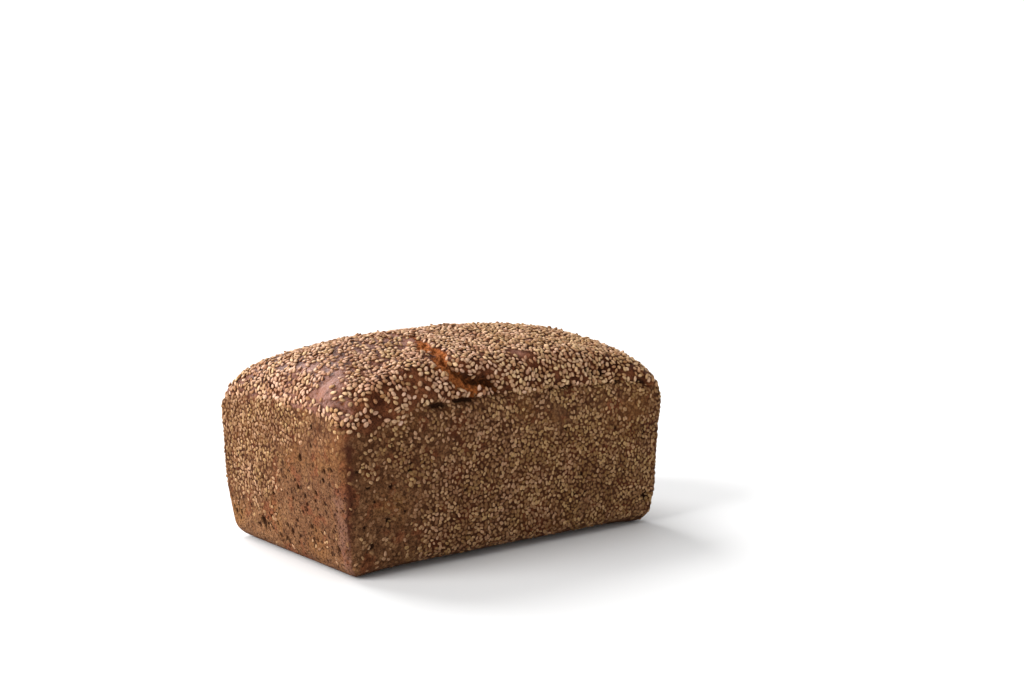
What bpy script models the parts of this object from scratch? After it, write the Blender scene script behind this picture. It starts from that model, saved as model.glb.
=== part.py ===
"""A spelt loaf baked in a tapered tin, with sesame seeds all over its crust.

The loaf is one solid. Its walls have the shape of the tin, with a rounded foot
and rounded upright edges. Its top is a dome that rose out of the tin and burst
open along a crack, which runs from the ridge down to the near long side. The
largest of its sesame seeds are fused to the crust.

Units are metres, +Z is up, +X runs along the loaf and -Y is the near long side.
The origin is the middle of the flat base.
"""

import math
import random

import bmesh
import bpy
import numpy as np
from mathutils import Matrix, Vector, noise

# The tin: the walls, up to the rim where the dough rose out of it.
BASE_LENGTH = 0.1865
BASE_WIDTH = 0.1122
RIM_LENGTH = 0.1985
RIM_WIDTH = 0.1169
RIM_HEIGHT = 0.0711            # at the four corners
LONG_SIDE_ARCH = 0.0076        # how far the rim rises between the corners
END_ARCH = 0.0055
LONG_SIDE_ARCH_POWER = 5.8
END_ARCH_POWER = 4.3
WALL_SWELL = 0.0020            # how far the walls swell at half height
FOOT_RADIUS = 0.008
EDGE_RADIUS = 0.0044
SMALLEST_EDGE_RADIUS = 0.002
FOOT_SHARE = 0.12              # share of the wall's cuts that the rounded foot takes
FOOT_ARCH = 0.0020             # how far the base's long edges rise between the corners
FOOT_ARCH_START = 0.7          # where the base begins to rise, from its middle to its long edges
FLAT_BASE_INSET = 0.016        # the middle of the base is flat inside this margin
EDGE_DENT = 0.0016             # depth of the dent in the near right upright edge

# The dome: a steep shoulder all round, and a crown on top of it.
SHOULDER_HEIGHT = 0.0144
SHOULDER_POWER_ALONG = 19.0
SHOULDER_POWER_ACROSS = 16.5
CROWN_HEIGHT = 0.0138
CROWN_POWER_ALONG = 3.1
CROWN_POWER_ACROSS = 1.6
SLUMP = 0.0007                 # how far the far left of the dome sank
RIGHT_SAG = 0.0012             # how far the near right of the dome sank
TOP_SPREAD = 1.3               # packs the dome's cuts towards its steep shoulder
FLANK_LENGTH = 0.075           # over the crust, from the near rim up to the ridge

# The crack, on the unrolled top: along the loaf, and up the flank from the near rim.
FLAP_EDGE = [
    (-0.034, 0.069), (-0.028, 0.062), (-0.028, 0.052), (-0.0295, 0.044), (-0.0285, 0.036), (-0.0285, 0.030),
    (-0.031, 0.024), (-0.034, 0.018), (-0.032, 0.015), (-0.0295, 0.012), (-0.026, 0.010), (-0.0215, 0.0092),
    (-0.017, 0.0085), (-0.0125, 0.0068), (-0.009, 0.005), (-0.0055, 0.0032), (-0.002, 0.0017), (0.005, 0.0006),
    (0.0215, 0.0),
]
FLAP_FAR_CORNERS = [(0.020, -0.1), (0.2, -0.1), (0.2, 0.3), (-0.034, 0.3)]
# Each pair is a run along the flap's edge from the ridge, and the size there.
CRACK_WIDTH = [
    (0.0, 0.0), (0.008, 0.004), (0.014, 0.0065), (0.022, 0.008), (0.029, 0.0095), (0.040, 0.0098),
    (0.050, 0.0088), (0.057, 0.0095), (0.062, 0.0105), (0.068, 0.0085), (0.076, 0.0068), (0.084, 0.004), (0.092, 0.0),
]
CRACK_SINK = [(0.0, 0.0), (0.020, 0.0006), (0.036, 0.0012), (0.060, 0.0016), (0.080, 0.0016), (0.092, 0.0)]
CREVICE_SINK = [
    (0.0, 0.0), (0.045, 0.0004), (0.052, 0.0010), (0.056, 0.0030), (0.062, 0.0030), (0.070, 0.0042), (0.080, 0.0048),
    (0.088, 0.0036), (0.095, 0.001), (0.114, 0.0),
]
CREVICE_REACH = [(0.0, 0.0018), (0.052, 0.0020), (0.062, 0.0024), (0.072, 0.0034), (0.114, 0.0034)]
FLAP_LIFT = [(0.0, 0.0), (0.020, 0.0006), (0.045, 0.0016), (0.060, 0.0026), (0.078, 0.0026), (0.114, 0.0)]
LIFT_REACH = 0.011
TORN_EDGE = 0.0022             # over how much the crust breaks down into the crack

# The crease at the rim, and the low lumps of the crust.
CREASE_SINK = 0.0014
CREASE_REACH = 0.0014
RAGGED_LENGTH = 0.016
LUMP_HEIGHT = 0.0009
LUMP_LENGTH = 0.034
LUMPS_START = 0.012            # height over which the lumps grow from the flat base

# The cuts of the crust's grid: stretches of (start, stop, number of cells), from -1 to 1.
CUTS_ALONG = [(-1.0, -0.96, 1), (-0.96, -0.48, 5), (-0.48, 0.02, 10), (0.02, 0.96, 10), (0.96, 1.0, 1)]
CUTS_ACROSS = [(-1.0, -0.96, 1), (-0.96, -0.72, 5), (-0.72, 0.96, 13), (0.96, 1.0, 1)]
CUTS_UP = [(0.0, FOOT_SHARE, 3), (FOOT_SHARE, 0.965, 5), (0.965, 1.0, 1)]
CRACK_FINE_REACH = 0.007       # round the crack, the cells are cut once more

# The sesame seeds that are fused on, the largest of the crust's seeds.
SEED_COUNT = 226
SEED_LENGTH = 0.0034
SEED_WIDTH = 0.0022
SEED_THICKNESS = 0.0015
SEED_SPREAD = 0.1              # how much the seeds differ in size
SEED_GAP = 0.0116              # between seeds where the crust is full of them
SEED_PROUD_TOP = 0.0009
SEED_PROUD_WALL = 0.0006
SEED_TRIES = 40000
RANDOM_SEED = 11

CRUST_COLOUR = (0.30, 0.14, 0.07)
CRUST_ROUGHNESS = 0.6
TINY = 1e-9


def mix(low, high, share):
    return low + (high - low) * share


def smooth(low, high, value):
    """0 below low, 1 above high, and a smooth step between them."""
    share = np.clip((value - low) / (high - low), 0.0, 1.0)
    return share * share * (3.0 - 2.0 * share)


def size_at(pairs, run):
    """The size that (run, size) pairs give at a run."""
    runs, sizes = zip(*pairs)
    return np.interp(run, runs, sizes)


# --- the form of the loaf ---------------------------------------------------------

def plan_point(side_u, side_v, length, width, radius):
    """A point on a rounded rectangle, from its direction on a square of side 2."""
    box_x = side_u * length / 2
    box_y = side_v * width / 2
    core_x = np.clip(box_x, radius - length / 2, length / 2 - radius)
    core_y = np.clip(box_y, radius - width / 2, width / 2 - radius)
    run = np.maximum(np.hypot(box_x - core_x, box_y - core_y), TINY)
    x = core_x + radius * (box_x - core_x) / run
    y = core_y + radius * (box_y - core_y) / run
    return x, y


def rim_height(x, y):
    """The rim's height, lowest at the corners and arched between them."""
    along = np.clip(np.abs(x) / (RIM_LENGTH / 2), 0, 1)
    across = np.clip(np.abs(y) / (RIM_WIDTH / 2), 0, 1)
    side = LONG_SIDE_ARCH * (1 - along ** LONG_SIDE_ARCH_POWER) * across ** 4
    end = END_ARCH * (1 - across ** END_ARCH_POWER) * along ** 4
    return RIM_HEIGHT + side + end


def wall_point(side_u, side_v, rise):
    """A point of the walls, for a rise of 0 at the base and 1 at the rim."""
    rim_z = rim_height(*plan_point(side_u, side_v, RIM_LENGTH, RIM_WIDTH, EDGE_RADIUS))
    turn = np.clip(rise / FOOT_SHARE, 0, 1) * math.pi / 2
    above = np.clip((rise - FOOT_SHARE) / (1 - FOOT_SHARE), 0, 1)
    z = FOOT_RADIUS * (1 - np.cos(turn)) + (rim_z - FOOT_RADIUS) * above
    tuck = FOOT_RADIUS * (1 - np.sin(turn))
    level = z / rim_z
    grow = 2 * (WALL_SWELL * 4 * level * (1 - level) - tuck)
    length = mix(BASE_LENGTH, RIM_LENGTH, level) + grow
    width = mix(BASE_WIDTH, RIM_WIDTH, level) + grow
    radius = np.maximum(EDGE_RADIUS - tuck / 2, SMALLEST_EDGE_RADIUS)
    x, y = plan_point(side_u, side_v, length, width, radius)
    arch = FOOT_ARCH * (1 - np.abs(side_u) ** 6) * smooth(FOOT_ARCH_START, 1.0, np.abs(side_v))
    return x, y, z + arch * (1 - level) ** 3


def top_point(u, v):
    """A point of the dome, for u and v from -1 to 1."""
    reach = np.maximum(np.abs(u), np.abs(v))
    side_u = u / np.maximum(reach, TINY)
    side_v = v / np.maximum(reach, TINY)
    spread = 1 - (1 - reach) ** TOP_SPREAD
    rim_x, rim_y = plan_point(side_u, side_v, RIM_LENGTH, RIM_WIDTH, EDGE_RADIUS)
    along = np.abs(side_u * spread)
    across = np.abs(side_v * spread)
    middle = RIM_HEIGHT + (LONG_SIDE_ARCH + END_ARCH) / 2
    rim = mix(middle, rim_height(rim_x, rim_y), spread ** 2)
    shoulder = (1 - along ** SHOULDER_POWER_ALONG) * (1 - across ** SHOULDER_POWER_ACROSS)
    crown = (1 - along ** CROWN_POWER_ALONG) * (1 - across ** CROWN_POWER_ACROSS)
    z = rim + SHOULDER_HEIGHT * shoulder + CROWN_HEIGHT * crown
    return rim_x * spread, rim_y * spread, z


# --- relief, measured outwards from the form ---------------------------------------

def on_flap(x, flank):
    """True on the right of the crack, where the crust lifted as a flap."""
    corners = FLAP_EDGE + FLAP_FAR_CORNERS
    inside = np.zeros(x.shape, bool)
    for (x0, f0), (x1, f1) in zip(corners, corners[1:] + corners[:1]):
        if f0 == f1:
            continue
        between = (f0 > flank) != (f1 > flank)
        inside ^= between & (x < x0 + (x1 - x0) * (flank - f0) / (f1 - f0))
    return inside


def flap_offset(x, flank):
    """The distance from the flap's edge, positive on the flap, and the run along that edge."""
    nearest = np.full(x.shape, np.inf)
    run_there = np.zeros(x.shape)
    run = 0.0
    for (x0, f0), (x1, f1) in zip(FLAP_EDGE, FLAP_EDGE[1:]):
        length = math.hypot(x1 - x0, f1 - f0)
        share = ((x - x0) * (x1 - x0) + (flank - f0) * (f1 - f0)) / length ** 2
        share = np.clip(share, 0, 1)
        gap = np.hypot(x - mix(x0, x1, share), flank - mix(f0, f1, share))
        closer = gap < nearest
        nearest = np.where(closer, gap, nearest)
        run_there = np.where(closer, run + share * length, run_there)
        run += length
    return np.where(on_flap(x, flank), nearest, -nearest), run_there


def crack_share(x, flank):
    """1 in the torn crumb of the crack, and 0 on the crust beside it."""
    offset, run = flap_offset(x, flank)
    width = size_at(CRACK_WIDTH, run)
    return smooth(0, TORN_EDGE, -offset) * smooth(0, TORN_EDGE, offset + width)


def crack_relief(x, flank):
    """How the crack sinks, with its crevice under the flap and the flap's lifted edge."""
    offset, run = flap_offset(x, flank)
    sink = size_at(CRACK_SINK, run) * crack_share(x, flank)
    reach = size_at(CREVICE_REACH, run)
    crevice = size_at(CREVICE_SINK, run) * np.exp(-((offset + reach / 2) / reach) ** 2)
    lift = size_at(FLAP_LIFT, run) * np.exp(-np.maximum(offset, 0) / LIFT_REACH)
    return lift * smooth(-TORN_EDGE, TORN_EDGE, offset) - sink - crevice


def sunk(form, is_top):
    """How far the crust sank at both ends of the dome, and in the near right upright edge."""
    x, y, z = form.T
    slump = SLUMP * smooth(-0.03, -0.06, x) * smooth(0.0, 0.03, y) * is_top
    sag = RIGHT_SAG * smooth(0.045, 0.09, x) * smooth(0.09, -0.045, y) * smooth(0.076, 0.09, z)
    dent = smooth(0.075, 0.092, x) * smooth(-0.040, -0.056, y) * smooth(0.018, 0.032, z) * smooth(0.064, 0.050, z)
    return slump + sag + EDGE_DENT * dent


def ragged(points, length):
    """Smooth noise from -1 to 1, for each point, with features of a given length."""
    return np.array([noise.noise(Vector(point) / length) for point in points])


# --- the crust ---------------------------------------------------------------------

def cut_places(stretches):
    """The places of the cuts that divide stretches of (start, stop, cells)."""
    places = []
    for start, stop, cells in stretches:
        places += [mix(start, stop, cell / cells) for cell in range(cells)]
    return places[1:]


def slice_cube(mesh, axis, places):
    """Cuts the cube right across at each place along one axis."""
    for place in places:
        normal = Vector()
        normal[axis] = 1.0
        everything = mesh.verts[:] + mesh.edges[:] + mesh.faces[:]
        bmesh.ops.bisect_plane(mesh, geom=everything, dist=1e-6, plane_co=normal * place, plane_no=normal)


def refine_crack(mesh):
    """Cuts the cells of the top once more along the crack."""
    top = [face for face in mesh.faces if face.normal.z > 0.5]
    middles = np.array([face.calc_center_median()[:] for face in top])
    x = top_point(middles[:, 0], middles[:, 1])[0]
    offset, run = flap_offset(x, (1 + middles[:, 1]) * FLANK_LENGTH)
    near = (offset < CRACK_FINE_REACH) & (offset > -size_at(CRACK_WIDTH, run) - CRACK_FINE_REACH)
    edges = {edge for face, fine in zip(top, near) if fine for edge in face.edges}
    bmesh.ops.subdivide_edges(mesh, edges=sorted(edges, key=lambda edge: edge.index), cuts=1, use_grid_fill=True)


def cube_grid():
    """A cube of side 2 cut into the crust's cells, with one face below."""
    mesh = bmesh.new()
    bmesh.ops.create_cube(mesh, size=2.0)
    slice_cube(mesh, 0, cut_places(CUTS_ALONG))
    slice_cube(mesh, 1, cut_places(CUTS_ACROSS))
    slice_cube(mesh, 2, [2 * rise - 1 for rise in cut_places(CUTS_UP)])
    mesh.normal_update()
    mesh.edges.index_update()
    refine_crack(mesh)
    below = [face for face in mesh.faces if face.normal.z < -0.5]
    bmesh.ops.dissolve_faces(mesh, faces=below)
    return mesh


def shape_crust(mesh):
    """Moves the cube's vertices to the form of the loaf, then adds its relief."""
    cube = np.array([vert.co[:] for vert in mesh.verts])
    u, v, rise = cube[:, 0], cube[:, 1], (cube[:, 2] + 1) / 2
    is_top = rise > 1 - 1e-6
    form = np.where(is_top, top_point(u, v), wall_point(u, v, rise)).T
    for vert, place in zip(mesh.verts, form):
        vert.co = place
    mesh.normal_update()

    to_rim = np.where(is_top, (1 - np.maximum(np.abs(u), np.abs(v))) * FLANK_LENGTH, (1 - rise) * RIM_HEIGHT)
    uneven = 0.6 + ragged(form, RAGGED_LENGTH)
    crease = CREASE_SINK * np.exp(-(to_rim / CREASE_REACH) ** 2) * uneven
    lumps = LUMP_HEIGHT * ragged(form, LUMP_LENGTH) * np.clip(form[:, 2] / LUMPS_START, 0, 1)
    crack = crack_relief(form[:, 0], (1 + v) * FLANK_LENGTH) * is_top
    for vert, height in zip(mesh.verts, lumps + crack - crease - sunk(form, is_top)):
        vert.co += vert.normal * height


def flatten_base(mesh):
    """Makes the middle of the base flat, inside its arched long edges."""
    base = max(mesh.faces, key=lambda face: len(face.verts))
    bmesh.ops.inset_region(mesh, faces=[base], thickness=FLAT_BASE_INSET, use_even_offset=True)
    for vert in base.verts:
        vert.co.z = 0.0


def build_crust(collection, material):
    mesh = cube_grid()
    shape_crust(mesh)
    flatten_base(mesh)
    bmesh.ops.triangulate(mesh, faces=mesh.faces)
    bmesh.ops.recalc_face_normals(mesh, faces=mesh.faces)
    data = bpy.data.meshes.new("loaf")
    mesh.to_mesh(data)
    mesh.free()
    data.materials.append(material)
    crust = bpy.data.objects.new("loaf", data)
    collection.objects.link(crust)
    return crust


# --- the seeds ---------------------------------------------------------------------

def seed_share(place, normal):
    """How full of seeds the crust is at a place, from 0 to 1."""
    x, y, z = place
    patchy = 0.5 + 0.5 * noise.noise(place / 0.02)
    if normal.z < -0.3 or z < FOOT_RADIUS / 2:
        return 0.0
    if z > rim_height(x, y) and normal.z > 0.25:
        spread = min(abs(y) / (RIM_WIDTH / 2), 1.0)
        flank = FLANK_LENGTH * (1 - spread) ** (1 / TOP_SPREAD)
        if y > 0:
            flank = 2 * FLANK_LENGTH - flank
        offset, run = flap_offset(np.array([x]), np.array([flank]))
        width = size_at(CRACK_WIDTH, run)[0]
        if -width - SEED_LENGTH < offset[0] < SEED_LENGTH and run[0] < CRACK_WIDTH[-1][0]:
            return 0.0
        return 1.0 if offset[0] > 0 else 0.45 + 0.3 * patchy
    if abs(normal.x) > abs(normal.y):
        filled = smooth(-0.02, 0.01, y + (0.5 * (z - 0.04)) if x < 0 else 0.01)
        return 0.1 + 0.8 * float(filled)
    sparse = 1 - smooth(-0.065, -0.05, x if y < 0 else -x)
    return 1.0 - 0.6 * float(sparse)


def scatter_seeds(crust):
    """Places for the seeds, spread evenly over the crust where it has them."""
    draw = random.Random(RANDOM_SEED)
    data = crust.data
    data.calc_loop_triangles()
    triangles = [tri for tri in data.loop_triangles if tri.normal.z > -0.5]
    areas = [tri.area for tri in triangles]
    places = []
    for tri in draw.choices(triangles, areas, k=SEED_TRIES):
        a, b, c = (data.vertices[index].co for index in tri.vertices)
        along = math.sqrt(draw.random())
        across = draw.random()
        place = a * (1 - along) + b * along * (1 - across) + c * along * across
        share = seed_share(place, tri.normal)
        if share == 0.0:
            continue
        gap = SEED_GAP / math.sqrt(share)
        if all((place - other).length > gap for other, _, _ in places):
            places.append((place, tri.normal.copy(), draw.uniform(0, math.tau)))
        if len(places) == SEED_COUNT:
            break
    return places


def seed_mesh():
    """One sesame seed, a flat drop that is wider at one end."""
    mesh = bmesh.new()
    bmesh.ops.create_icosphere(mesh, subdivisions=1, radius=0.5)
    for vert in mesh.verts:
        taper = 1.0 - 0.35 * vert.co.x
        vert.co.y *= taper
    data = bpy.data.meshes.new("sesame_seed")
    mesh.to_mesh(data)
    mesh.free()
    return data


def build_seeds(crust, collection):
    """Seeds that lie flat on the crust, each turned its own way."""
    draw = random.Random(RANDOM_SEED + 1)
    data = seed_mesh()
    for number, (place, normal, turn) in enumerate(scatter_seeds(crust)):
        proud = SEED_PROUD_TOP if normal.z > 0.3 else SEED_PROUD_WALL
        size = 1 + draw.uniform(-SEED_SPREAD, SEED_SPREAD)
        scale = Matrix.Diagonal((SEED_LENGTH * size, SEED_WIDTH * size, SEED_THICKNESS, 1.0))
        lie = normal.to_track_quat("Z", "Y").to_matrix().to_4x4()
        sink = normal * (proud - SEED_THICKNESS / 2)
        seed = bpy.data.objects.new(f"sesame_seed_{number:03d}", data)
        seed.matrix_world = Matrix.Translation(place + sink) @ lie @ Matrix.Rotation(turn, 4, "Z") @ scale
        collection.objects.link(seed)


def fuse_seeds(crust, collection):
    """Joins the seeds to the crust, so that the loaf is one solid."""
    union = crust.modifiers.new("seeds", "BOOLEAN")
    union.operation = "UNION"
    union.operand_type = "COLLECTION"
    union.collection = collection
    union.solver = "EXACT"
    bpy.context.view_layer.update()
    evaluated = crust.evaluated_get(bpy.context.evaluated_depsgraph_get())
    fused = bpy.data.meshes.new_from_object(evaluated)
    crust.modifiers.clear()
    crust.data = fused
    for seed in list(collection.objects):
        bpy.data.objects.remove(seed)
    bpy.data.collections.remove(collection)


def crust_material():
    material = bpy.data.materials.new("crust")
    material.use_nodes = True
    shader = material.node_tree.nodes["Principled BSDF"]
    shader.inputs["Base Color"].default_value = (*CRUST_COLOUR, 1.0)
    shader.inputs["Roughness"].default_value = CRUST_ROUGHNESS
    shader.inputs["Metallic"].default_value = 0.0
    return material


def new_collection(name):
    collection = bpy.data.collections.new(name)
    bpy.context.scene.collection.children.link(collection)
    return collection


def main():
    for thing in list(bpy.data.objects):
        bpy.data.objects.remove(thing)
    loaf_collection = new_collection("spelt_loaf")
    seed_collection = new_collection("sesame_seeds")
    crust = build_crust(loaf_collection, crust_material())
    build_seeds(crust, seed_collection)
    fuse_seeds(crust, seed_collection)


main()
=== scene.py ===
import math

import bmesh
import bpy
import numpy as np
from bpy.props import FloatProperty, FloatVectorProperty, IntProperty, PointerProperty
from bpy.types import Operator, Panel, PropertyGroup
from mathutils import Euler, Matrix, Vector, noise


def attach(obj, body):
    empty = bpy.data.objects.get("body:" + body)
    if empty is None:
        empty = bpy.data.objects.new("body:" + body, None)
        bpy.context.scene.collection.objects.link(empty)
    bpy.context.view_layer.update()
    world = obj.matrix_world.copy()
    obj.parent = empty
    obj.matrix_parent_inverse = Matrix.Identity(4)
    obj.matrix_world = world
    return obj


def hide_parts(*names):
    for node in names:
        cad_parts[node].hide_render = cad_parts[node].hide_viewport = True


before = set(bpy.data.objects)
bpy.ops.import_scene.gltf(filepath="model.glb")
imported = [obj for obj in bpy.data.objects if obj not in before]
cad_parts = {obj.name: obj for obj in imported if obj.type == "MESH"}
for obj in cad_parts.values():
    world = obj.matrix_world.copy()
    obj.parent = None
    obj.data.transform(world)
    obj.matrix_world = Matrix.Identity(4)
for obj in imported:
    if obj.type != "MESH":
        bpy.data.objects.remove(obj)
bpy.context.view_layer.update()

bl_info = {
    "name": "Spelt loaf with sesame seeds",
    "version": (1, 0, 0),
    "blender": (4, 5, 0),
    "location": "3D View > Sidebar > Spelt loaf",
    "description": "Models a tin loaf with a torn top and sesame seeds, and lights it in a studio",
    "category": "Object",
}

BODY = "root"
LOAF_NODE = "loaf"
MM = 0.001
TINY = 1e-9                    # keeps a length that divides above zero

# Powers that bend the rim and the dome, as in the solid loaf.
SIDE_ARCH_POWER = 5.8
END_ARCH_POWER = 4.3
RIM_BLEND_POWER = 4
SHOULDER_POWERS = (19.0, 16.5)
CROWN_POWERS = (3.1, 1.6)
TOP_SPREAD = 1.3
FOOT_SHARE = 0.12
FOOT_ARCH_POWER = 6
FOOT_ARCH_START = 0.7
FOOT_ARCH_FADE = 3

# The crack on the unrolled top, in metres: along the loaf, and up the flank from the near rim.
FLAP_EDGE = [
    (-0.034, 0.069), (-0.028, 0.062), (-0.028, 0.052), (-0.0295, 0.044), (-0.0285, 0.036), (-0.0285, 0.030),
    (-0.031, 0.024), (-0.034, 0.018), (-0.032, 0.015), (-0.0295, 0.012), (-0.026, 0.010),
    (-0.0215, 0.0092), (-0.017, 0.0085), (-0.0125, 0.0068), (-0.009, 0.005), (-0.0055, 0.0032),
    (-0.002, 0.0017), (0.005, 0.0006), (0.0215, 0.0),
]
FLAP_FAR_CORNERS = [(0.020, -0.1), (0.2, -0.1), (0.2, 0.3), (-0.034, 0.3)]
# Each pair is a run along the flap's edge from the ridge, and the size there.
CRACK_WIDTH = [
    (0.0, 0.0), (0.008, 0.004), (0.014, 0.0065), (0.022, 0.008), (0.029, 0.0095), (0.040, 0.0098),
    (0.050, 0.0088), (0.057, 0.0095), (0.062, 0.0105), (0.068, 0.0085), (0.076, 0.0068),
    (0.084, 0.004), (0.092, 0.0),
]
CRACK_SINK = [(0.0, 0.0), (0.020, 0.0006), (0.036, 0.0012), (0.060, 0.0016), (0.080, 0.0016), (0.092, 0.0)]
CREVICE_SINK = [
    (0.0, 0.0), (0.045, 0.0004), (0.052, 0.0010), (0.056, 0.0030), (0.062, 0.0030), (0.070, 0.0042),
    (0.080, 0.0048), (0.088, 0.0036), (0.095, 0.001), (0.114, 0.0),
]
CREVICE_REACH = [(0.0, 0.0018), (0.052, 0.0020), (0.062, 0.0024), (0.072, 0.0034), (0.114, 0.0034)]
FLAP_LIFT = [(0.0, 0.0), (0.020, 0.0006), (0.045, 0.0016), (0.060, 0.0026), (0.078, 0.0026), (0.114, 0.0)]

# Bare spots of the top, where the crust also gets painted sheen: x, y, how far they reach.
TOP_BARE_SPOTS = [
    (-0.085, -0.0315, 0.004), (-0.0855, -0.0395, 0.0035), (-0.090, -0.042, 0.003), (-0.091, -0.035, 0.004),
    (-0.095, -0.034, 0.0025), (-0.095, -0.0415, 0.0025), (-0.095, -0.029, 0.0025), (-0.0935, -0.052, 0.003),
    (-0.095, -0.0545, 0.0025), (-0.0555, -0.016, 0.0035), (-0.046, -0.013, 0.0035), (-0.0355, -0.0065, 0.003),
    (-0.0335, -0.016, 0.003), (-0.039, -0.020, 0.0035), (-0.064, -0.0185, 0.0025), (-0.085, -0.015, 0.0025),
    (-0.0895, -0.013, 0.0025), (0.0095, -0.049, 0.0045), (0.027, -0.034, 0.0025), (0.049, -0.026, 0.0025),
]
# Bare spots of the near flank: x, up the flank, how far they reach.
FLANK_BARE_SPOTS = [
    (-0.062, 0.009, 0.003), (-0.055, 0.009, 0.003), (-0.061, 0.004, 0.002), (-0.055, 0.004, 0.0025),
    (-0.049, 0.0035, 0.0025), (0.0265, 0.0045, 0.002), (0.0515, 0.0095, 0.0025), (0.058, 0.0045, 0.003),
    (0.064, 0.013, 0.0025), (0.068, 0.0025, 0.0025), (0.075, 0.0045, 0.004), (0.083, 0.002, 0.004),
    (0.0865, 0.006, 0.003), (0.089, 0.0025, 0.003), (0.072, 0.010, 0.002), (0.080, 0.009, 0.002),
]
# Barer spots of the near long side: x, z, how far they reach.
SIDE_BARE_SPOTS = [
    (0.059, 0.067, 0.006), (0.069, 0.067, 0.005), (0.077, 0.062, 0.006), (0.027, 0.065, 0.005),
    (-0.046, 0.054, 0.006),
]
# Pits where air broke through the crust: along the wall, z, radius, depth.
SIDE_PITS = [
    (-0.0735, 0.0615, 0.0009, 0.0012), (-0.0925, 0.0515, 0.0009, 0.0012), (-0.0865, 0.0435, 0.0010, 0.0015),
    (-0.0635, 0.0485, 0.0012, 0.0015), (-0.074, 0.0425, 0.0012, 0.0015), (-0.075, 0.0265, 0.0013, 0.0018),
    (-0.088, 0.025, 0.0009, 0.0015), (-0.0835, 0.0155, 0.0014, 0.0015), (-0.0315, 0.0355, 0.0012, 0.0015),
    (0.0375, 0.024, 0.0012, 0.002), (0.0415, 0.033, 0.0013, 0.002), (0.0875, 0.015, 0.0024, 0.003),
]
END_PITS = [
    (-0.0305, 0.060, 0.0012, 0.0018), (-0.020, 0.053, 0.0015, 0.0018), (-0.0425, 0.050, 0.0012, 0.0018),
    (-0.049, 0.0515, 0.0010, 0.0015), (-0.041, 0.0455, 0.0011, 0.0015), (-0.016, 0.038, 0.0014, 0.0018),
    (-0.033, 0.038, 0.0012, 0.0018), (0.021, 0.0145, 0.0022, 0.002), (-0.006, 0.0145, 0.0014, 0.0018),
    (-0.048, 0.014, 0.0014, 0.002), (-0.031, 0.069, 0.0012, 0.0015),
]
# Hollows under the dome's edge at the near rim: x, up the flank, half width, half height, depth.
HOLLOWS = [
    (0.032, 0.0005, 0.006, 0.0016, 0.0025), (0.050, 0.005, 0.004, 0.002, 0.003),
    (0.058, 0.0045, 0.0032, 0.0024, 0.003), (0.068, 0.002, 0.0026, 0.0022, 0.0028),
    (0.0765, 0.0008, 0.004, 0.0014, 0.002), (0.084, 0.0014, 0.005, 0.0014, 0.0025),
    (-0.046, -0.0012, 0.0065, 0.0016, 0.0035), (-0.031, -0.0004, 0.0085, 0.0018, 0.0038),
]


# The seeds: sides and rings of one, its taper, and how they are laid.
SEED_SIDES = 7
SEED_THINNING = 0.25
TRIED_COVER, LEAST_COVER = 0.02, 0.03
TOP_DISCS, WALL_DISCS = 0.21, 0.19     # how far a seed's two discs lie from its middle, in seed lengths
SEED_CLUMPS = (0.0055, 9.0)            # the size of the clumps, and the shift of their noise
KEPT_SHARE, CLUMPING = 1.12, 0.45

# The shaders: the size of their features, and how far their bumps stand proud.
BROAD, RUST, MOTTLE, BLISTER, GRAIN, FINE = 0.024, 0.010, 0.0055, 0.0018, 0.0011, 0.0004
TILE = 0.0023
SMALL_PORE, LARGE_PORE = 0.0013, 0.0038
SEED_MOTTLE, SEED_PATCH = 0.0007, 0.018
FLOOR_PATCH = 0.4
CRUST_BUMP, SEED_BUMP = 0.0006, 0.00008
WHITE = (1.0, 1.0, 1.0)

# The studio: the floor reaches out of sight.
FLOOR_RADIUS = 12.0
FLOOR_SIDES = 96
SENSOR_WIDTH = 36.0
CLIP = (0.01, 100.0)
HORIZON_HEIGHT = (0.26, 0.12)


# --- the sizes and colours that a user may change ----------------

def length(name, description, default):
    return FloatProperty(name=name, description=description, default=default, unit="LENGTH", precision=4)


def share(name, description, default):
    return FloatProperty(
        name=name, description=description, default=default, min=0.0, max=1.0, subtype="FACTOR")


def colour(name, description, default):
    return FloatVectorProperty(name=name, description=description, default=default, subtype="COLOR", size=3)


def strength(name, description, default):
    return FloatProperty(name=name, description=description, default=default, min=0.0)


def number(name, description, default):
    return IntProperty(name=name, description=description, default=default)


def angle(name, description, degrees):
    return FloatProperty(name=name, description=description, default=math.radians(degrees), subtype="ANGLE")


class LoafShape(PropertyGroup):
    """The form that the tin and the rise of the dough gave the loaf."""

    base_length: length("Base length", "Length of the loaf at the foot of the tin", 0.1865)
    base_width: length("Base width", "Width of the loaf at the foot of the tin", 0.1122)
    rim_length: length("Rim length", "Length at the tin's rim", 0.1985)
    rim_width: length("Rim width", "Width at the tin's rim", 0.1169)
    rim_height: length("Rim height", "Height of the rim at the corners", 0.0711)
    side_arch: length("Side arch", "How far the long rims rise between the corners", 0.0076)
    end_arch: length("End arch", "How far the short rims rise between the corners", 0.0055)
    wall_swell: length("Wall swell", "How far the walls swell at half height", 0.0020)
    foot_radius: length("Foot radius", "Rounding between the walls and the base", 0.008)
    edge_radius: length("Edge radius", "Rounding of the four upright edges", 0.0044)
    smallest_edge_radius: length("Least edge radius", "Rounding of the upright edges at the base", 0.002)
    foot_arch: length("Foot arch", "How far the long edges of the base rise between the corners", 0.0020)
    shoulder_height: length("Shoulder height", "Rise of the dome's steep shoulder", 0.0144)
    crown_height: length("Crown height", "Rise of the crown on the shoulder", 0.0138)
    flank_length: length("Flank length", "Over the crust, from the near rim to the ridge", 0.075)
    slump: length("Slump", "How far the far left of the dome sank", 0.0007)
    right_sag: length("Right sag", "How far the near right of the dome sank", 0.0012)
    edge_dent: length("Edge dent", "Depth of the dent in the near right upright edge", 0.0016)


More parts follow.
